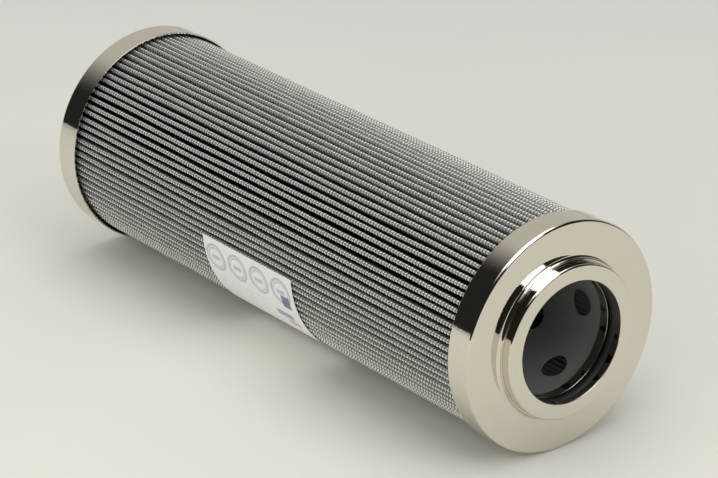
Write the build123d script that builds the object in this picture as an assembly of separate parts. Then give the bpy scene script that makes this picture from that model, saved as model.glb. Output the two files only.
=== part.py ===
"""Pleated filter element for a hydraulic filter housing.

The element stands on its closed end: +Z runs along its axis towards the open end, and the origin
is the middle of the closed cap's outer face. Sizes are in millimetres.
"""

import os
from math import asin, cos, pi, radians, sin

from build123d import *

# Overall
CAP_DIAMETER = 78.0  # outside of both end caps
BODY_LENGTH = 226.5  # closed face to open face, without the collar

# Drawn end caps
CAP_SHEET = 0.5
CAP_CORNER_RADIUS = 1.0
OPEN_SKIRT = 9.4
CLOSED_SKIRT = 10.2
CAP_LIP_HEIGHT = 1.3  # turned-up edge that grips the collar, above the open face
PAN_DEPTH = 1.0  # shallow pan pressed into the closed cap, which locates the centre tube
PAN_DRAFT = 1.0
PAN_CLEARANCE = 0.3  # between the pan and the inside of the tube

# Seal collar
BORE_DIAMETER = 41.2
COLLAR_WALL = 5.4  # from the bore to the collar's outside
COLLAR_HEIGHT = 4.6  # above the open face
COLLAR_EDGE_RADIUS = 0.8
COLLAR_FLANGE_WIDTH = 2.4  # how far the flange reaches under the cap's face
COLLAR_FLANGE_THICKNESS = 1.4
COLLAR_SLEEVE = 3.1  # how far the collar reaches into the centre tube
SLEEVE_WALL = 1.7
SLEEVE_CLEARANCE = 0.1  # between the sleeve and the tube
SEAL_TOP_LAND = 2.4

# Spigot seal
SEAL_SECTION = 3.5
SEAL_SQUEEZE = 0.1  # how far the seal stands into the bore
GROOVE_SIDE_CLEARANCE = 0.15

# Pleated pack
CREST_CLEARANCE = 0.8  # between the crests and the inside of a skirt
OUTER_MESH = 0.2
MEDIUM = 0.3
INNER_MESH = 0.2
HALF_INSIDE_GAP = 0.1  # from a pleat's middle plane to the inside of its leg
HALF_VALLEY_GAP = 0.04  # from a valley's middle plane to the legs beside it, at the least
CREST_FLATS = 4  # a crest bends in this many short flats
POTTING_DEPTH = 3.0

# Centre tube
TUBE_WALL = 0.8
TUBE_CLEARANCE = 0.3  # between the tube and the pleat roots
HOLE_DIAMETER = 9.0
HOLES_AROUND = 6
HOLE_ROWS = 11
TUBE_END_MARGIN = 14.0  # from a tube end to the first row's centre

# Label
LABEL_LENGTH = 49.0  # along the axis
LABEL_BOTTOM = 86.5  # from the closed face
LABEL_START_ANGLE = 3.0
LABEL_ANGLE = 67.0
LABEL_THICKNESS = 0.12

CAP_RADIUS = CAP_DIAMETER / 2
BORE_RADIUS = BORE_DIAMETER / 2
COLLAR_RADIUS = BORE_RADIUS + COLLAR_WALL
COLLAR_TOP = BODY_LENGTH + COLLAR_HEIGHT
FLANGE_RADIUS = COLLAR_RADIUS + COLLAR_FLANGE_WIDTH
FLANGE_BOTTOM = BODY_LENGTH - CAP_SHEET - COLLAR_FLANGE_THICKNESS
SLEEVE_RADIUS = BORE_RADIUS + SLEEVE_WALL
TUBE_INNER_RADIUS = SLEEVE_RADIUS + SLEEVE_CLEARANCE
TUBE_RADIUS = TUBE_INNER_RADIUS + TUBE_WALL

# The pleats stand round the tube, as many as there is room for
PACK_THICKNESS = OUTER_MESH + MEDIUM + INNER_MESH
HALF_PLEAT = PACK_THICKNESS + HALF_INSIDE_GAP
ROOT_RADIUS = TUBE_RADIUS + TUBE_CLEARANCE
VALLEY_RADIUS = ROOT_RADIUS + HALF_PLEAT
PLEAT_COUNT = int(pi / asin((HALF_PLEAT + HALF_VALLEY_GAP) / VALLEY_RADIUS))
PLEAT_STEP = 2 * pi / PLEAT_COUNT
CREST_RADIUS = CAP_RADIUS - CAP_SHEET - CREST_CLEARANCE
FOLD_RADIUS = CREST_RADIUS - HALF_PLEAT  # centre of a crest's bend
PACK_BOTTOM = CAP_SHEET + POTTING_DEPTH
PACK_TOP = BODY_LENGTH - CAP_SHEET - POTTING_DEPTH


def turned(points, rounded=(), sweep=360):
    """A solid of revolution about Z from (radius, height) corners; rounded is {corner: radius}."""
    outline = Wire(Polyline([(r, 0, z) for r, z in points], close=True).edges())
    for corner, radius in dict(rounded).items():
        r, z = points[corner]
        vertex = outline.vertices().sort_by_distance((r, 0, z))[0]
        outline = outline.fillet_2d(radius, [vertex])
    return Solid.revolve(Face(outline), sweep, Axis.Z)


def open_end_cap():
    """A drawn cup, mouth down, with a turned-up lip round the collar."""
    top = BODY_LENGTH
    inner = CAP_RADIUS - CAP_SHEET
    lip_outside = COLLAR_RADIUS + CAP_SHEET
    return turned(
        [
            (COLLAR_RADIUS, top - CAP_SHEET),
            (inner, top - CAP_SHEET),
            (inner, top - OPEN_SKIRT),
            (CAP_RADIUS, top - OPEN_SKIRT),
            (CAP_RADIUS, top),
            (lip_outside, top),
            (lip_outside, top + CAP_LIP_HEIGHT),
            (COLLAR_RADIUS, top + CAP_LIP_HEIGHT),
        ],
        {4: CAP_CORNER_RADIUS},
    )


def closed_end_cap():
    """A drawn cup, mouth up, with a shallow pan in the middle of its face."""
    inner = CAP_RADIUS - CAP_SHEET
    pan_foot = TUBE_INNER_RADIUS - PAN_CLEARANCE
    pan_top = pan_foot - PAN_DRAFT
    return turned(
        [
            (0, PAN_DEPTH),
            (pan_top - CAP_SHEET, PAN_DEPTH),
            (pan_foot - CAP_SHEET, 0),
            (CAP_RADIUS, 0),
            (CAP_RADIUS, CLOSED_SKIRT),
            (inner, CLOSED_SKIRT),
            (inner, CAP_SHEET),
            (pan_foot, CAP_SHEET),
            (pan_top, PAN_DEPTH + CAP_SHEET),
            (0, PAN_DEPTH + CAP_SHEET),
        ],
        {3: CAP_CORNER_RADIUS},
    )


def seal_collar():
    """A turned ring: bore, seal groove, flange under the cap's face and sleeve in the tube."""
    groove_top = COLLAR_TOP - SEAL_TOP_LAND
    groove_bottom = groove_top - SEAL_SECTION - 2 * GROOVE_SIDE_CLEARANCE
    groove_radius = BORE_RADIUS - SEAL_SQUEEZE + SEAL_SECTION
    sleeve_bottom = FLANGE_BOTTOM - COLLAR_SLEEVE
    flange_top = FLANGE_BOTTOM + COLLAR_FLANGE_THICKNESS
    return turned(
        [
            (BORE_RADIUS, COLLAR_TOP),
            (BORE_RADIUS, groove_top),
            (groove_radius, groove_top),
            (groove_radius, groove_bottom),
            (BORE_RADIUS, groove_bottom),
            (BORE_RADIUS, sleeve_bottom),
            (SLEEVE_RADIUS, sleeve_bottom),
            (SLEEVE_RADIUS, FLANGE_BOTTOM),
            (FLANGE_RADIUS, FLANGE_BOTTOM),
            (FLANGE_RADIUS, flange_top),
            (COLLAR_RADIUS, flange_top),
            (COLLAR_RADIUS, COLLAR_TOP),
        ],
        {11: COLLAR_EDGE_RADIUS},
    )


def spigot_seal():
    """A round-section ring, held in the collar's groove and standing slightly into the bore."""
    centre_height = COLLAR_TOP - SEAL_TOP_LAND - GROOVE_SIDE_CLEARANCE - SEAL_SECTION / 2
    centre_radius = BORE_RADIUS - SEAL_SQUEEZE + SEAL_SECTION / 2
    return Solid.make_torus(centre_radius, SEAL_SECTION / 2, Plane((0, 0, centre_height)))


def potting(bottom, top, hole_radius, flange=None):
    """An adhesive bed inside a cap, with a step round the collar's flange if it has one."""
    outer = CAP_RADIUS - CAP_SHEET
    if flange is None:
        return turned([(hole_radius, bottom), (outer, bottom), (outer, top), (hole_radius, top)])
    radius, height = flange
    return turned(
        [
            (hole_radius, bottom),
            (outer, bottom),
            (outer, top),
            (radius, top),
            (radius, height),
            (hole_radius, height),
        ]
    )


def pleat_point(pleat, across, out):
    """A point in pleat number pleat: across from its middle plane, and out from the axis."""
    angle = pleat * PLEAT_STEP
    return (out * cos(angle) - across * sin(angle), out * sin(angle) + across * cos(angle), 0)


def crest_loop():
    """The outside of the pack: a bent crest on each pleat and a sharp valley between pleats."""
    points = []
    for pleat in range(PLEAT_COUNT):
        points.append(pleat_point(pleat - 0.5, 0, VALLEY_RADIUS))
        for flat in range(CREST_FLATS + 1):
            bend = pi * flat / CREST_FLATS
            across = -HALF_PLEAT * cos(bend)
            points.append(pleat_point(pleat, across, FOLD_RADIUS + HALF_PLEAT * sin(bend)))
    return points


def layer_loop(depth):
    """The face between two layers, at this depth under the outside of the pack."""
    across = HALF_PLEAT - depth
    tip = FOLD_RADIUS + across - 1.25 * OUTER_MESH
    root = VALLEY_RADIUS - depth - HALF_INSIDE_GAP
    points = []
    for pleat in range(PLEAT_COUNT):
        points.append(pleat_point(pleat, -across, root))
        points.append(pleat_point(pleat, -across, tip))
        points.append(pleat_point(pleat, across, tip))
        points.append(pleat_point(pleat, across, root))
    return points


def inside_loop():
    """The inside of the pack: the legs of each pleat meet at its tip."""
    across = HALF_PLEAT - PACK_THICKNESS
    tip = FOLD_RADIUS - OUTER_MESH
    points = []
    for pleat in range(PLEAT_COUNT):
        points.append(pleat_point(pleat, -across, ROOT_RADIUS))
        points.append(pleat_point(pleat, 0, tip))
        points.append(pleat_point(pleat, across, ROOT_RADIUS))
    return points


def pleated_layer(outer_points, inner_points):
    """One folded layer of the pack, between two loops and from bed to bed."""
    outer = Wire(Polyline(outer_points, close=True).edges())
    inner = Wire(Polyline(inner_points, close=True).edges())
    section = Pos(0, 0, PACK_BOTTOM) * Face(outer, [inner])
    return Solid.extrude(section, Vector(0, 0, PACK_TOP - PACK_BOTTOM))


def centre_tube():
    """A perforated tube from the closed cap to the collar, with its holes in staggered rows."""
    inner = TUBE_INNER_RADIUS
    bottom = CAP_SHEET
    top = FLANGE_BOTTOM
    tube = turned([(inner, bottom), (TUBE_RADIUS, bottom), (TUBE_RADIUS, top), (inner, top)])
    row_pitch = (top - bottom - 2 * TUBE_END_MARGIN) / (HOLE_ROWS - 1)
    drills = []
    for row in range(HOLE_ROWS):
        height = bottom + TUBE_END_MARGIN + row * row_pitch
        for place in range(HOLES_AROUND):
            angle = 360 * (place + 0.5 * (row % 2)) / HOLES_AROUND
            aim = Vector(cos(radians(angle)), sin(radians(angle)), 0)
            start = Vector(0, 0, height) + aim * (inner - TUBE_WALL)
            plane = Plane(start, z_dir=aim)
            drills.append(Solid.make_cylinder(HOLE_DIAMETER / 2, 3 * TUBE_WALL, plane))
    return tube.cut(*drills)


def paper_label():
    """A thin sheet bent round the pleat crests."""
    inner = CREST_RADIUS
    outer = inner + LABEL_THICKNESS
    top = LABEL_BOTTOM + LABEL_LENGTH
    strip = turned(
        [(inner, LABEL_BOTTOM), (outer, LABEL_BOTTOM), (outer, top), (inner, top)],
        sweep=LABEL_ANGLE,
    )
    return Rot(0, 0, LABEL_START_ANGLE) * strip


def build():
    """Every piece by its name."""
    outer_depth = OUTER_MESH
    medium_depth = OUTER_MESH + MEDIUM
    face = BODY_LENGTH - CAP_SHEET
    return {
        "open_end_cap": open_end_cap(),
        "seal_collar": seal_collar(),
        "spigot_seal": spigot_seal(),
        "open_end_potting": potting(PACK_TOP, face, TUBE_RADIUS, (FLANGE_RADIUS, FLANGE_BOTTOM)),
        "outer_wire_mesh": pleated_layer(crest_loop(), layer_loop(outer_depth)),
        "filter_medium": pleated_layer(layer_loop(outer_depth), layer_loop(medium_depth)),
        "inner_wire_mesh": pleated_layer(layer_loop(medium_depth), inside_loop()),
        "centre_tube": centre_tube(),
        "closed_end_potting": potting(CAP_SHEET, PACK_BOTTOM, TUBE_RADIUS),
        "closed_end_cap": closed_end_cap(),
        "paper_label": paper_label(),
    }


os.makedirs("parts", exist_ok=True)
for name, solid in build().items():
    export_step(solid, os.path.join("parts", name + ".step"))
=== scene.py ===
"""Looks for the pleated filter element: plated end caps, woven wire cloth, label and studio."""

from math import cos, pi, radians, sin, sqrt, tan

import bpy
from mathutils import Matrix, Vector

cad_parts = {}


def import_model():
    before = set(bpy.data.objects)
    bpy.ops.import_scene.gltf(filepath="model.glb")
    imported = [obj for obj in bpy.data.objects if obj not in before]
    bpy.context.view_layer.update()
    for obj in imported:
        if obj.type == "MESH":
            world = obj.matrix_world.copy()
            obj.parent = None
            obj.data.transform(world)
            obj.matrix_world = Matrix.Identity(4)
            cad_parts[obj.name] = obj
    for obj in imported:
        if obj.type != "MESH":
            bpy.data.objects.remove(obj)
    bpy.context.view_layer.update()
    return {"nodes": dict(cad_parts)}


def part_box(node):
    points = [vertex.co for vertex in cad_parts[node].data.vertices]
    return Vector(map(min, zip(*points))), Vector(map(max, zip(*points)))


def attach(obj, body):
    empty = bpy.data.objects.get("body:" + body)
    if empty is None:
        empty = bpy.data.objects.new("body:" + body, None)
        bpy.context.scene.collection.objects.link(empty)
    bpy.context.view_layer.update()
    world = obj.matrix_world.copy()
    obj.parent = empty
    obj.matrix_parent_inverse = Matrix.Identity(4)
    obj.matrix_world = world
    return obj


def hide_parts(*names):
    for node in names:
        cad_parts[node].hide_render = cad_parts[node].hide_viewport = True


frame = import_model()

MM = 0.001

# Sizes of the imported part, from the frame
closed_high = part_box("closed_end_cap")[1]
open_low, open_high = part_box("open_end_cap")
collar_low, collar_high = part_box("seal_collar")
mesh_low, mesh_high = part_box("outer_wire_mesh")
label_low, label_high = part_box("paper_label")
CAP_RADIUS = closed_high.x
CREST_RADIUS = mesh_high.x
FLANGE_RADIUS = collar_high.x
LABEL_RADIUS = sqrt(label_low.y**2 + label_high.x**2)

# Turned pieces: the caps and the collar
TURN_STEPS = 288  # round the axis
ARC_STEPS = 5  # in each rounded corner
EDGE = 0.12 * MM  # the slight break of each turned or sheared edge
BODY_TOP = 226.5 * MM
CAP_SHEET = 0.5 * MM
CAP_CORNER = 1.0 * MM
LIP_FOOT = 1.15 * MM  # the bend from the face into the lip
PAN_DEPTH = 1.0 * MM
PAN_FOOT = 22.1 * MM
PAN_TOP = 21.1 * MM
PAN_BEND = 0.4 * MM
PAN_INSIDE_BEND = 0.3 * MM
CLOSED_START = 0.2 * MM  # the closed cap's outline starts this far off the axis
CLOSED_START_EDGE = 0.05 * MM
COLLAR_RADIUS = 26.0 * MM
COLLAR_EDGE = 0.8 * MM
BORE_RADIUS = 20.6 * MM
BORE_EDGE = 0.25 * MM
FLANGE_THICKNESS = 1.4 * MM
SLEEVE_RADIUS = 22.3 * MM
GROOVE_RADIUS = 24.0 * MM
GROOVE_TOP = 2.4 * MM  # below the collar's top
GROOVE_WIDTH = 3.8 * MM

# Pleated sheets
PLEAT_COUNT = 90
PLEAT_WIDTH = 1.6 * MM
FOLD_RADIUS = CREST_RADIUS - PLEAT_WIDTH / 2  # centre of a crest's bend
CREST_STEPS = 8  # over a crest's bend
DEPTH_STEPS = 3  # down a pleat's leg
ROWS = 44  # along the axis
LEAN = 0.28 * MM  # how far a crest wanders to a side
WIRE_RISE = 0.17 * MM  # how far the wires that run round stand out of the cloth

# Half thickness of a pleat at each sheet, and radius of its valleys
OUTER_FOLD = (PLEAT_WIDTH / 2 - WIRE_RISE, 24.3 * MM)
MEDIUM_FOLD = (0.45 * MM, 23.95 * MM)
INNER_FOLD = (0.20 * MM, 23.52 * MM)

# Woven wires
ROD_PITCH = 1.6 * MM  # between the wires that run along the pleats
HOOP_PITCH = 1.41 * MM  # between the wires that run round the pleats, along the axis
WIRE_HALF = 0.54 * MM  # half the width of a wire that runs round
WIRE_SWAY = 0.07 * MM  # its rise and fall over the wires that it crosses
WIRE_BENDS = 4  # steps over a crest's bend
WIRE_LEG = 1.0 * MM  # how far it is modelled below the crest's bend
WIRE_LEG_LIFT = 0.4  # its height there, as a share of WIRE_RISE
WIRE_BURIED = -0.1  # its two sides lie this share of its height under the cloth
WIRE_PIECES = 4
WIRE_DIP = 0.28  # in the cloth's relief, how far a wire sinks where another passes over it
HOOP_HALF = 0.42  # half width of a wire that runs round, as a share of its pitch
ROD_HALF = 0.24  # the same for a wire that runs along
ROD_HEIGHT = 0.38  # its height, as a share of the other's
VALLEY_SHADE_START = 1.2 * MM  # from a crest's middle, along the cloth: where painted shade starts down into the valley, and where it is full
VALLEY_SHADE_END = 3.0 * MM

# The label's print, in millimetres along the axis and down from its upper edge
LABEL_START = radians(3.0)
RING_COUNT = 4
RING_PITCH = 12.0
RING_DOWN = 7.2
RINGS = ((4.8, 0.5), (3.7, 0.25))  # radius and half width of each line of a ring
RING_BAR = (0.8, 2.2)  # half width and half length
PRINT_SOFT = 0.12  # half the width of a printed edge
LINE_PITCH = 2.4
LINE_HALF = 0.42
LINE_FIELD = (20.4, 6.0, 17.0, 13.0)  # middle and half down, middle and half along

# The photograph's view: the element lies on a table that touches its +Y side, so up is -Y
TABLE_UP = Vector((0, -1, 0))
CAMERA_PLACE = Vector((0.59318, -0.42000, 0.87285))
CAMERA_AIM = Vector((0.00072, 0.00102, 0.12493))
CAMERA_ROLL = radians(0.114)
SENSOR_WIDTH = 36.0
LENS = 155.42

# The studio: where light comes from, and how bright each part of it is
BACKDROP_AIM = Vector((-0.62, 0.0, -0.78))
SOFTBOX_AIM = Vector((-0.10, -0.66, 0.74))
BACKDROP_EDGE = (0.30, 0.62)  # where each one fades in, as cosines from its middle
CEILING_EDGE = (0.72, 0.86)
SOFTBOX_EDGE = (0.955, 0.965)
ROOM = (0.02, 0.02, 0.018, 1.0)
BACKDROP = (0.58, 0.57, 0.515, 1.0)
CEILING = (0.75, 0.74, 0.70, 1.0)
SOFTBOX = (2.9, 3.0, 3.4, 1.0)
SURROUND = (0.65, 0.67, 0.62, 1.0)  # what the camera sees
AMBIENT = (0.50, 0.495, 0.48, 1.0)  # what lights matt surfaces
TABLE_HALF = 6.0
TABLE_LIT_WAY = (0.56, 0.0, 0.83)  # the way along the table towards the camera, along which painted light brightens it
LAMP_MIDDLE = Vector((0, 0, 0.12))
LAMPS = (  # name, place from LAMP_MIDDLE, size, power, colour, whether gloss mirrors it
    ("ceiling", (0.0, -1.3, 0.0), 1.4, 6.5, (1.0, 0.99, 0.96), True),
    ("fill", (1.3, -0.55, 0.2), 1.5, 6.8, (1.0, 0.98, 0.95), False),
    ("rear", (-0.9, 1.3, 0.5), 0.9, 5.0, (1.0, 1.0, 1.0), False),
    ("rear", (0.9, 1.3, 0.5), 0.9, 5.0, (1.0, 1.0, 1.0), False),
)


# ---------------------------------------------------------------- node helpers
class Nodes:
    """A short way to build a node tree."""

    def __init__(self, tree):
        self.tree = tree
        tree.nodes.clear()

    def add(self, kind, inputs=None, **settings):
        node = self.tree.nodes.new(kind)
        for key, value in settings.items():
            setattr(node, key, value)
        for key, value in (inputs or {}).items():
            self.put(node, key, value)
        return node

    def put(self, node, key, value):
        socket = node.inputs[key]
        if isinstance(value, bpy.types.NodeSocket):
            self.tree.links.new(value, socket)
        elif isinstance(value, bpy.types.Node):
            self.tree.links.new(value.outputs[0], socket)
        else:
            socket.default_value = value

    def math(self, operation, a, b=0.0, c=0.0):
        return self.add("ShaderNodeMath", {0: a, 1: b, 2: c}, operation=operation)

    def mix(self, factor, a, b):
        node = self.add("ShaderNodeMix", data_type="RGBA")
        self.put(node, 0, factor)
        self.put(node, 6, a)
        self.put(node, 7, b)
        return node.outputs[2]

    def ramp(self, factor, stops, ease="LINEAR"):
        node = self.add("ShaderNodeValToRGB", {0: factor})
        node.color_ramp.interpolation = ease
        while len(node.color_ramp.elements) < len(stops):
            node.color_ramp.elements.new(0.5)
        for element, (place, colour) in zip(node.color_ramp.elements, stops):
            element.position = place
            element.color = colour
        return node


def grey(value):
    """A neutral colour."""
    return (value, value, value, 1.0)


def rgb(red, green, blue):
    """An opaque colour."""
    return (red, green, blue, 1.0)


def material(name):
    """A new material and its empty node tree."""
    made = bpy.data.materials.new(name)
    made.use_nodes = True
    return made, Nodes(made.node_tree)


def finish_surface(nodes, shader):
    """Joins a shader to the material's output."""
    output = nodes.add("ShaderNodeOutputMaterial")
    nodes.put(output, "Surface", shader)


# ---------------------------------------------------------------- materials
def plated_steel():
    """Bright nickel plate on drawn sheet: warm, smooth, with faint draw lines and stains."""
    made, nodes = material("nickel_plate")
    place = nodes.add("ShaderNodeTexCoord").outputs["Object"]
    cloud = nodes.add("ShaderNodeTexNoise", {"Vector": place, "Scale": 45.0, "Detail": 4.0})
    grain = nodes.add("ShaderNodeTexNoise", {"Vector": place, "Scale": 900.0, "Detail": 2.0})
    tone = nodes.mix(cloud.outputs[0], rgb(0.70, 0.655, 0.58), rgb(0.76, 0.72, 0.645))
    rough = nodes.add(
        "ShaderNodeMapRange", {"Value": cloud.outputs[0], 1: 0.3, 2: 0.7, 3: 0.03, 4: 0.06}
    )
    bump = nodes.add(
        "ShaderNodeBump", {"Height": grain.outputs[0], "Strength": 0.05, "Distance": 0.0002}
    )
    shader = nodes.add(
        "ShaderNodeBsdfPrincipled",
        {"Base Color": tone, "Metallic": 1.0, "Roughness": rough.outputs[0], "Normal": bump},
    )
    finish_surface(nodes, shader)
    return made


def wire(nodes, place, along, width):
    """Height of one set of round wires: place counts them, along counts the wires they cross.

    width is half a wire's width, as a share of the pitch.
    """
    off = nodes.math("SUBTRACT", place, nodes.math("ROUND", place))
    share = nodes.math("DIVIDE", off, width)
    round_top = nodes.math("SUBTRACT", 1.0, nodes.math("MULTIPLY", share, share))
    body = nodes.math("SQRT", nodes.math("MAXIMUM", round_top, 0.0))
    phase = nodes.math("MULTIPLY", nodes.math("ADD", along, nodes.math("ROUND", place)), pi)
    rise = nodes.math("MULTIPLY_ADD", nodes.math("COSINE", phase), WIRE_DIP, 1 - WIRE_DIP)
    return nodes.math("MULTIPLY", body, rise)


def wire_cloth(gap_shade, light, pleat):
    """Epoxy-coated plain weave: round wires that pass over and under, with painted shade where the
    relief is low, in the gaps and where wires pass under.

    pleat is one pleat's length in the cloth's UV map. Painted shade darkens the cloth down into
    each valley.
    """
    made, nodes = material("wire_cloth")
    uv = nodes.add("ShaderNodeUVMap", uv_map="cloth")
    parts = nodes.add("ShaderNodeSeparateXYZ", {0: uv})
    around = nodes.math("DIVIDE", parts.outputs[0], ROD_PITCH)
    along = nodes.math("DIVIDE", parts.outputs[1], HOOP_PITCH)
    hoops = wire(nodes, along, around, HOOP_HALF)
    rods = wire(nodes, around, nodes.math("ADD", along, 1.0), ROD_HALF)
    height = nodes.math("MAXIMUM", hoops, nodes.math("MULTIPLY", rods, ROD_HEIGHT))
    place = nodes.add("ShaderNodeTexCoord").outputs["Object"]
    cloud = nodes.add("ShaderNodeTexNoise", {"Vector": place, "Scale": 160.0, "Detail": 3.0})
    mottle = nodes.math("MULTIPLY_ADD", cloud.outputs[0], 0.5, 0.75)
    shade = nodes.math("MULTIPLY", height, mottle)
    # painted shade: the tone falls with the relief's height, dark in the gaps between wires and on
    # the lower wires
    tone = nodes.ramp(shade, [(0.10, gap_shade), (0.48, light), (1.0, light)]).outputs[0]
    # painted shade: the cloth darkens to near black down each pleat's legs, away from the crest's
    # middle
    way = nodes.math("FLOORED_MODULO", parts.outputs[0], pleat)
    below = nodes.math("ABSOLUTE", nodes.math("SUBTRACT", way, pleat / 2))
    valley_shade = nodes.add(
        "ShaderNodeMapRange",
        {"Value": below, 1: VALLEY_SHADE_START, 2: VALLEY_SHADE_END},
        interpolation_type="SMOOTHSTEP",
    )
    tone = nodes.mix(nodes.math("MULTIPLY", valley_shade.outputs[0], 0.85), tone, grey(0.015))
    bump = nodes.add("ShaderNodeBump", {"Height": height, "Strength": 1.0, "Distance": 0.0003})
    shader = nodes.add(
        "ShaderNodeBsdfPrincipled",
        {"Base Color": tone, "Metallic": 0.5, "Roughness": 0.45, "Normal": bump},
    )
    finish_surface(nodes, shader)
    return made


def printed_label():
    """White paper with generic print: a row of rings, rows of fine bars and three blocks."""
    made, nodes = material("label_print")
    place = nodes.add("ShaderNodeTexCoord").outputs["Object"]
    parts = nodes.add("ShaderNodeSeparateXYZ", {0: place})
    angle = nodes.math("ARCTAN2", parts.outputs[1], parts.outputs[0])
    down = nodes.math("MULTIPLY", nodes.math("SUBTRACT", angle, LABEL_START), LABEL_RADIUS / MM)
    along = nodes.math("DIVIDE", nodes.math("SUBTRACT", parts.outputs[2], label_low.z), MM)

    def band(value, middle, half):
        """1 where value lies within half of middle."""
        far = nodes.math("ABSOLUTE", nodes.math("SUBTRACT", value, middle))
        return nodes.add(
            "ShaderNodeMapRange",
            {"Value": far, 1: half - PRINT_SOFT, 2: half + PRINT_SOFT, 3: 1.0, 4: 0.0},
        ).outputs[0]

    def block(middle_down, half_down, middle_along, half_along):
        """1 within a rectangle."""
        return nodes.math(
            "MULTIPLY", band(down, middle_down, half_down), band(along, middle_along, half_along)
        )

    ink = rgb(0.26, 0.29, 0.38)
    blocks = [  # place and half sizes as for block, strength, colour
        ((11.0, 2.6, 43.6, 2.2), 0.85, rgb(0.07, 0.07, 0.16)),
        ((18.6, 1.5, 39.0, 4.5), 0.7, rgb(0.14, 0.13, 0.27)),
        ((22.2, 1.0, 41.5, 3.0), 0.7, rgb(0.42, 0.14, 0.17)),
    ]
    cell = nodes.math("SUBTRACT", nodes.math("FLOORED_MODULO", along, RING_PITCH), RING_PITCH / 2)
    off = nodes.math("SUBTRACT", down, RING_DOWN)
    square = nodes.math("ADD", nodes.math("MULTIPLY", cell, cell), nodes.math("MULTIPLY", off, off))
    far = nodes.math("SQRT", square)
    rings = nodes.math("MAXIMUM", *(band(far, radius, half) for radius, half in RINGS))
    bar = nodes.math("MULTIPLY", band(off, 0, RING_BAR[0]), band(cell, 0, RING_BAR[1]))
    rings = nodes.math("MAXIMUM", rings, bar)
    row_half = RING_PITCH * RING_COUNT / 2
    rings = nodes.math("MULTIPLY", rings, band(along, row_half, row_half))
    words = nodes.add("ShaderNodeTexNoise", {"Vector": place, "Scale": 1100.0, "Detail": 1.0})
    line = nodes.math("SUBTRACT", nodes.math("FLOORED_MODULO", down, LINE_PITCH), LINE_PITCH / 2)
    line = nodes.math("LESS_THAN", nodes.math("ABSOLUTE", line), LINE_HALF)
    lines = nodes.math("MULTIPLY", line, block(*LINE_FIELD))
    lines = nodes.math("MULTIPLY", lines, nodes.math("GREATER_THAN", words.outputs[0], 0.47))
    grain = nodes.add("ShaderNodeTexNoise", {"Vector": place, "Scale": 300.0, "Detail": 3.0})
    tone = nodes.mix(grain.outputs[0], rgb(0.67, 0.68, 0.68), rgb(0.73, 0.74, 0.735))
    tone = nodes.mix(nodes.math("MULTIPLY", rings, 0.62), tone, ink)
    tone = nodes.mix(nodes.math("MULTIPLY", lines, 0.30), tone, ink)
    for place_and_half, strength, colour in blocks:
        tone = nodes.mix(nodes.math("MULTIPLY", block(*place_and_half), strength), tone, colour)
    rough = nodes.math("MULTIPLY_ADD", grain.outputs[0], 0.1, 0.38)
    shader = nodes.add("ShaderNodeBsdfPrincipled", {"Base Color": tone, "Roughness": rough})
    finish_surface(nodes, shader)
    return made


def painted(name, low, high, roughness, scale=200.0, metallic=0.0):
    """A finish with slight mottling and grain."""
    made, nodes = material(name)
    place = nodes.add("ShaderNodeTexCoord").outputs["Object"]
    noise = nodes.add("ShaderNodeTexNoise", {"Vector": place, "Scale": scale, "Detail": 4.0})
    tone = nodes.mix(noise.outputs[0], low, high)
    rough = nodes.math("MULTIPLY_ADD", noise.outputs[0], 0.15, roughness)
    bump = nodes.add(
        "ShaderNodeBump", {"Height": noise.outputs[0], "Strength": 0.4, "Distance": 0.0001}
    )
    shader = nodes.add(
        "ShaderNodeBsdfPrincipled",
        {"Base Color": tone, "Metallic": metallic, "Roughness": rough, "Normal": bump},
    )
    finish_surface(nodes, shader)
    return made


# ---------------------------------------------------------------- mesh helpers
def new_piece(name, vertices, faces, finish, smooth=True):
    """A mesh object in the scene."""
    data = bpy.data.meshes.new(name)
    data.from_pydata([tuple(v) for v in vertices], [], faces)
    data.update()
    piece = bpy.data.objects.new(name, data)
    bpy.context.scene.collection.objects.link(piece)
    data.materials.append(finish)
    if smooth:
        data.shade_smooth()
    return piece


def rounded_outline(corners):
    """Points and outward normals of a closed outline of (radius, height, fillet) corners."""
    points = []
    count = len(corners)
    for i, (r, z, fillet) in enumerate(corners):
        here = Vector((r, z))
        back = (Vector(corners[i - 1][:2]) - here).normalized()
        ahead = (Vector(corners[(i + 1) % count][:2]) - here).normalized()
        half = back.angle(ahead) / 2
        middle = here + (back + ahead).normalized() * (fillet / sin(half))
        turn = 1 if back.cross(ahead) < 0 else -1
        start = here + back * (fillet / tan(half)) - middle
        end = here + ahead * (fillet / tan(half)) - middle
        for step in range(ARC_STEPS + 1):
            share = step / ARC_STEPS
            arm = start.normalized().slerp(end.normalized(), share) * fillet
            points.append((middle + arm, arm.normalized() * turn))
    return points


def turned(name, corners, finish):
    """A piece turned about Z from a closed outline, walked with the material on its left."""
    outline = rounded_outline(corners)
    count = len(outline)
    vertices, normals, faces = [], [], []
    for i in range(TURN_STEPS):
        angle = 2 * pi * i / TURN_STEPS
        for (r, z), (normal_r, normal_z) in outline:
            vertices.append((r * cos(angle), r * sin(angle), z))
            normals.append((normal_r * cos(angle), normal_r * sin(angle), normal_z))
    for i in range(TURN_STEPS):
        here, ahead = i * count, (i + 1) % TURN_STEPS * count
        for j in range(count):
            k = (j + 1) % count
            faces.append((here + j, ahead + j, ahead + k, here + k))
    piece = new_piece(name, vertices, faces, finish)
    piece.data.normals_split_custom_set_from_vertices(normals)
    return piece


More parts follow.
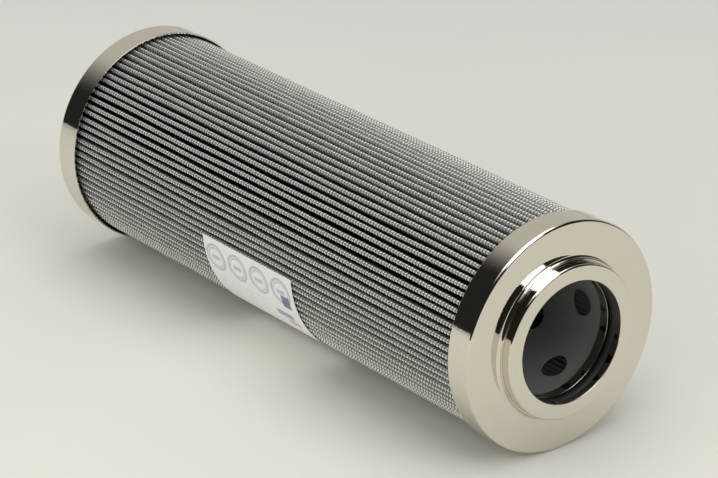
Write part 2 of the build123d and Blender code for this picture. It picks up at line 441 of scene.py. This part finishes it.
def open_cap(finish):
    """The drawn cup of the open end, with its turned-up lip."""
    inner = CAP_RADIUS - CAP_SHEET
    lip = COLLAR_RADIUS + CAP_SHEET
    corners = [
        (COLLAR_RADIUS, BODY_TOP - CAP_SHEET, EDGE),
        (inner, BODY_TOP - CAP_SHEET, CAP_CORNER - CAP_SHEET),
        (inner, open_low.z, EDGE),
        (CAP_RADIUS, open_low.z, EDGE),
        (CAP_RADIUS, BODY_TOP, CAP_CORNER),
        (lip, BODY_TOP, LIP_FOOT),
        (lip, open_high.z, EDGE),
        (COLLAR_RADIUS, open_high.z, EDGE),
    ]
    return turned("open_cap", corners, finish)


def closed_cap(finish):
    """The drawn cup of the closed end, with its pan."""
    inner = CAP_RADIUS - CAP_SHEET
    corners = [
        (CLOSED_START, PAN_DEPTH, CLOSED_START_EDGE),
        (PAN_TOP - CAP_SHEET, PAN_DEPTH, PAN_BEND),
        (PAN_FOOT - CAP_SHEET, 0, PAN_BEND),
        (CAP_RADIUS, 0, CAP_CORNER),
        (CAP_RADIUS, closed_high.z, EDGE),
        (inner, closed_high.z, EDGE),
        (inner, CAP_SHEET, CAP_CORNER - CAP_SHEET),
        (PAN_FOOT, CAP_SHEET, PAN_INSIDE_BEND),
        (PAN_TOP, PAN_DEPTH + CAP_SHEET, PAN_BEND),
        (CLOSED_START, PAN_DEPTH + CAP_SHEET, CLOSED_START_EDGE),
    ]
    return turned("closed_cap", corners, finish)


def collar(finish):
    """The turned ring of the open end, with its seal groove."""
    top = collar_high.z
    flange_top = BODY_TOP - CAP_SHEET
    flange_low = flange_top - FLANGE_THICKNESS
    groove_top = top - GROOVE_TOP
    groove_low = groove_top - GROOVE_WIDTH
    corners = [
        (BORE_RADIUS, collar_low.z, EDGE),
        (SLEEVE_RADIUS, collar_low.z, EDGE),
        (SLEEVE_RADIUS, flange_low, EDGE),
        (FLANGE_RADIUS, flange_low, EDGE),
        (FLANGE_RADIUS, flange_top, EDGE),
        (COLLAR_RADIUS, flange_top, EDGE),
        (COLLAR_RADIUS, top, COLLAR_EDGE),
        (BORE_RADIUS, top, BORE_EDGE),
        (BORE_RADIUS, groove_top, EDGE),
        (GROOVE_RADIUS, groove_top, EDGE),
        (GROOVE_RADIUS, groove_low, EDGE),
        (BORE_RADIUS, groove_low, EDGE),
    ]
    return turned("collar", corners, finish)


# ---------------------------------------------------------------- pleated sheets and wires
def pleat_line(half, valley):
    """One pleat of a sheet from valley to valley, as (across, out)."""
    step = 2 * pi / PLEAT_COUNT
    foot_across = valley * sin(step / 2)
    foot_out = valley * cos(step / 2)

    def leg(i, side):
        share = i / DEPTH_STEPS
        across = foot_across - (foot_across - half) * share
        return (side * across, foot_out + (FOLD_RADIUS - foot_out) * share)

    points = [leg(i, -1) for i in range(DEPTH_STEPS)]
    for i in range(CREST_STEPS + 1):
        bend = pi * i / CREST_STEPS
        points.append((-half * cos(bend), FOLD_RADIUS + half * sin(bend)))
    points += [leg(i, 1) for i in range(DEPTH_STEPS - 1, 0, -1)]
    return points


OUTER_LINE = pleat_line(*OUTER_FOLD)
FOOT = OUTER_LINE[0][1]  # how far out the outer cloth's valleys lie


def wander(pleat, height):
    """How far a crest stands to one side of its place: each pleat drifts in its own way."""
    slow = sin(pleat * 2.399 + 9.0 * height / BODY_TOP)
    fast = sin(pleat * 5.131 + 23.0 * height / BODY_TOP)
    return LEAN * (0.65 * slow + 0.35 * fast)


def drifted(across, out, lean):
    """Where a point of a pleat lies across, once the crest leans over: the valley stays."""
    return across + lean * (max(out - FOOT, 0) / (CREST_RADIUS - FOOT)) ** 2


def pleat_length():
    """Developed length of one pleat of the outer cloth, from valley to valley."""
    line = OUTER_LINE + [(-OUTER_LINE[0][0], FOOT)]
    return sum(sqrt((c - a) ** 2 + (d - b) ** 2) for (a, b), (c, d) in zip(line, line[1:]))


def rods_in_pleat():
    """How many wires run along one pleat: an odd number, so none lies on the crest's middle."""
    return 2 * int(pleat_length() / ROD_PITCH / 2) + 1


def pleated_sheet(name, profile, finish):
    """A sheet folded into every pleat, which drifts as the crests do.

    Its UV map holds the way along the cloth, a whole number of wires to a pleat, and the height.
    """
    developed = [0.0]
    for (a, b), (c, d) in zip(profile, profile[1:]):
        developed.append(developed[-1] + sqrt((c - a) ** 2 + (d - b) ** 2))
    length = pleat_length()
    wires = rods_in_pleat()
    heights = [mesh_low.z + (mesh_high.z - mesh_low.z) * i / ROWS for i in range(ROWS + 1)]
    vertices, layout, faces = [], [], []
    for height in heights:
        for pleat in range(PLEAT_COUNT):
            angle = 2 * pi * pleat / PLEAT_COUNT
            turn_x, turn_y = cos(angle), sin(angle)
            lean = wander(pleat, height)
            for (across, out), way in zip(profile, developed):
                side = drifted(across, out, lean)
                x, y = out * turn_x - side * turn_y, out * turn_y + side * turn_x
                vertices.append((x, y, height))
                layout.append(way / length)
    count = len(profile) * PLEAT_COUNT
    for row in range(ROWS):
        low, high = row * count, (row + 1) * count
        for i in range(count):
            k = (i + 1) % count
            faces.append((low + i, low + k, high + k, high + i))
    piece = new_piece(name, vertices, faces, finish)
    layer = piece.data.uv_layers.new(name="cloth")
    for polygon in piece.data.polygons:
        first = layout[polygon.vertices[0]]
        for corner in polygon.loop_indices:
            vertex = piece.data.loops[corner].vertex_index
            # A pleat's last face ends on the next pleat's first point, which counts as its end
            share = layout[vertex] if layout[vertex] or not first else 1.0
            layer.data[corner].uv = (share * wires * ROD_PITCH, vertices[vertex][2])
    return piece


def wire_line(side):
    """A wire's way over a crest: (across, out, outward across, outward out, lift) at each step.

    side, 1 or -1, says on which side of the crest it dips under the wire that it crosses.
    """
    half = OUTER_FOLD[0]
    foot, foot_lift = FOLD_RADIUS - WIRE_LEG, WIRE_LEG_LIFT * WIRE_RISE
    steps = [(-half, foot, -1.0, 0.0, foot_lift)]
    for i in range(WIRE_BENDS + 1):
        bend = pi * i / WIRE_BENDS
        lift = WIRE_RISE - WIRE_SWAY * (1 + side * cos(bend)) / 2
        out = FOLD_RADIUS + half * sin(bend)
        steps.append((-half * cos(bend), out, -cos(bend), sin(bend), lift))
    steps.append((half, foot, 1.0, 0.0, foot_lift))
    return steps


def crest_wires(number, finish):
    """The wires that run round, over one share of the pleats: open ridges on the outer cloth."""
    lines = [wire_line(1), wire_line(-1)]
    section = ((-WIRE_HALF, WIRE_BURIED), (0.0, 1.0), (WIRE_HALF, WIRE_BURIED))
    vertices, faces = [], []
    hoops = int((mesh_high.z - mesh_low.z) / HOOP_PITCH)
    for pleat in range(number, PLEAT_COUNT, WIRE_PIECES):
        angle = 2 * pi * pleat / PLEAT_COUNT
        turn_x, turn_y = cos(angle), sin(angle)
        for hoop in range(1, hoops):
            height = round(mesh_low.z / HOOP_PITCH + hoop) * HOOP_PITCH
            lean = wander(pleat, height)
            first = len(vertices)
            for across, out, away_across, away_out, lift in lines[(hoop + pleat) % 2]:
                side = drifted(across, out, lean)
                for along, share in section:
                    a, b = side + away_across * lift * share, out + away_out * lift * share
                    x, y = b * turn_x - a * turn_y, b * turn_y + a * turn_x
                    vertices.append((x, y, height + along))
            for step in range(len(lines[0]) - 1):
                low = first + 3 * step
                faces.append((low, low + 3, low + 4, low + 1))
                faces.append((low + 1, low + 4, low + 5, low + 2))
    return new_piece(f"crest_wires_{number + 1}", vertices, faces, finish)


# ---------------------------------------------------------------- stage
def table():
    """The pale surface under the element's +Y side, seen through from behind, with painted light
    that brightens it towards the camera.
    """
    made, nodes = material("table")
    path = nodes.add("ShaderNodeLightPath")
    geometry = nodes.add("ShaderNodeNewGeometry")
    place = nodes.add("ShaderNodeTexCoord").outputs["Object"]
    noise = nodes.add("ShaderNodeTexNoise", {"Vector": place, "Scale": 9.0, "Detail": 3.0})
    # painted light: the table's colour grows brighter towards the camera, unevenly
    lit_way = nodes.add("ShaderNodeVectorMath", {0: place, 1: TABLE_LIT_WAY}, operation="DOT_PRODUCT")
    painted_light_level = nodes.math("MULTIPLY_ADD", noise.outputs[0], 0.16, lit_way.outputs["Value"])
    share = nodes.add(
        "ShaderNodeMapRange", {"Value": painted_light_level, 1: -0.3, 2: 0.42}, interpolation_type="SMOOTHSTEP"
    )
    tone = nodes.mix(share.outputs[0], rgb(0.69, 0.70, 0.665), rgb(0.83, 0.83, 0.745))
    solid = nodes.add("ShaderNodeBsdfDiffuse", {"Color": tone})
    clear = nodes.add("ShaderNodeBsdfTransparent")
    behind = nodes.math("MULTIPLY", geometry.outputs["Backfacing"], path.outputs["Is Camera Ray"])
    both = nodes.add("ShaderNodeMixShader", {0: behind, 1: solid, 2: clear})
    finish_surface(nodes, both)
    half, y = TABLE_HALF, CAP_RADIUS
    corners = [(-half, y, -half), (half, y, -half), (half, y, half), (-half, y, half)]
    piece = new_piece("table", corners, [(0, 1, 2, 3)], made, smooth=False)
    if piece.data.polygons[0].normal.dot(TABLE_UP) < 0:
        piece.data.flip_normals()
    piece.visible_shadow = False


def world():
    """A pale surround for the camera, and an even light for matt surfaces.

    Gloss mirrors a dim room with a lit backdrop, a ceiling and a softbox.
    """
    made = bpy.data.worlds.new("studio")
    made.use_nodes = True
    bpy.context.scene.world = made
    nodes = Nodes(made.node_tree)
    path = nodes.add("ShaderNodeLightPath")
    direction = nodes.add("ShaderNodeTexCoord").outputs["Generated"]

    def towards(aim, dim, lit):
        """0 where a ray is further from aim than dim, 1 where it is nearer than lit, as cosines."""
        cosine = nodes.add(
            "ShaderNodeVectorMath",
            {0: direction, 1: tuple(aim.normalized())},
            operation="DOT_PRODUCT",
        )
        return nodes.add(
            "ShaderNodeMapRange",
            {"Value": cosine.outputs["Value"], 1: dim, 2: lit},
            interpolation_type="SMOOTHSTEP",
        ).outputs[0]

    level = nodes.mix(towards(BACKDROP_AIM, *BACKDROP_EDGE), ROOM, BACKDROP)
    level = nodes.mix(towards(TABLE_UP, *CEILING_EDGE), level, CEILING)
    level = nodes.mix(towards(SOFTBOX_AIM, *SOFTBOX_EDGE), level, SOFTBOX)
    room = nodes.add("ShaderNodeBackground", {"Color": level, "Strength": 1.0})
    pale = nodes.add("ShaderNodeBackground", {"Color": SURROUND, "Strength": 1.0})
    soft = nodes.add("ShaderNodeBackground", {"Color": AMBIENT, "Strength": 1.0})
    lit = nodes.add("ShaderNodeMixShader", {0: path.outputs["Is Diffuse Ray"], 1: room, 2: soft})
    both = nodes.add("ShaderNodeMixShader", {0: path.outputs["Is Camera Ray"], 1: lit, 2: pale})
    output = nodes.add("ShaderNodeOutputWorld")
    nodes.put(output, "Surface", both)


def lights():
    """The studio's square lamps, each turned to the element's middle."""
    for name, place, size, power, colour, mirrored in LAMPS:
        data = bpy.data.lights.new(name, "AREA")
        data.shape = "RECTANGLE"
        data.size = size
        data.size_y = size
        data.energy = power
        data.color = colour
        item = bpy.data.objects.new(name, data)
        bpy.context.scene.collection.objects.link(item)
        item.location = LAMP_MIDDLE + Vector(place)
        aim = LAMP_MIDDLE - item.location
        item.rotation_euler = aim.to_track_quat("-Z", "Y").to_euler()
        item.visible_glossy = mirrored


def camera():
    """The photograph's view."""
    data = bpy.data.cameras.new("view")
    data.sensor_width = SENSOR_WIDTH
    data.lens = LENS
    data.clip_start = 0.01
    data.clip_end = 50
    item = bpy.data.objects.new("view", data)
    bpy.context.scene.collection.objects.link(item)
    forward = (CAMERA_AIM - CAMERA_PLACE).normalized()
    right = forward.cross(TABLE_UP).normalized()
    up = right.cross(forward)
    turned_up = up * cos(CAMERA_ROLL) + right * sin(CAMERA_ROLL)
    turned_right = right * cos(CAMERA_ROLL) - up * sin(CAMERA_ROLL)
    turn = Matrix((turned_right, turned_up, -forward)).transposed()
    item.matrix_world = Matrix.Translation(CAMERA_PLACE) @ turn.to_4x4()
    bpy.context.scene.camera = item


# ---------------------------------------------------------------- the dressed part
def dress():
    """Finishes for the CAD nodes that are shown, and the pieces that stand for the others."""
    plate = plated_steel()
    # the darker tone is painted shade for the weave's gaps and low wires
    light, gap_shade = rgb(0.42, 0.42, 0.41), grey(0.10)
    cloth = wire_cloth(gap_shade, light, ROD_PITCH * rods_in_pleat())
    tube_low_tone, tube_high_tone = rgb(0.42, 0.42, 0.40), rgb(0.5, 0.5, 0.48)
    finishes = {
        "centre_tube": painted("tube_steel", tube_low_tone, tube_high_tone, 0.45, metallic=0.6),
        "spigot_seal": painted("seal_rubber", grey(0.012), grey(0.02), 0.45),
        "open_end_potting": painted("potting", grey(0.03), grey(0.05), 0.4),
        "closed_end_potting": painted("potting_low", grey(0.03), grey(0.05), 0.4),
        "paper_label": printed_label(),
    }
    for node, finish in finishes.items():
        data = frame["nodes"][node].data
        data.materials.clear()
        data.materials.append(finish)
    medium = painted("medium", grey(0.6), grey(0.7), 0.8)
    inner = painted("inner_wires", grey(0.12), grey(0.2), 0.5)
    wire_low_tone, wire_high_tone = rgb(0.74, 0.74, 0.725), rgb(0.92, 0.92, 0.90)
    wire_finish = painted(
        "coated_wire", wire_low_tone, wire_high_tone, 0.30, scale=160.0, metallic=0.85
    )
    for number in range(WIRE_PIECES):
        piece = crest_wires(number, wire_finish)
        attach(piece, "root")
        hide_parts("outer_wire_mesh")
    open_piece, closed_piece, collar_piece = open_cap(plate), closed_cap(plate), collar(plate)
    outer_sheet = pleated_sheet("outer_cloth", OUTER_LINE, cloth)
    medium_sheet = pleated_sheet("medium_sheet", pleat_line(*MEDIUM_FOLD), medium)
    inner_sheet = pleated_sheet("inner_cloth", pleat_line(*INNER_FOLD), inner)
    for piece, slot, node in [
        (open_piece, "plated_steel", "open_end_cap"),
        (closed_piece, "plated_steel", "closed_end_cap"),
        (collar_piece, "plated_steel", "seal_collar"),
        (outer_sheet, "coated_wire_cloth", "outer_wire_mesh"),
        (medium_sheet, "glass_fibre_medium", "filter_medium"),
        (inner_sheet, "coated_wire_cloth", "inner_wire_mesh"),
    ]:
        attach(piece, "root")
        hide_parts(node)


dress()
table()
world()
lights()
camera()
bpy.context.scene.view_settings.view_transform = "Standard"
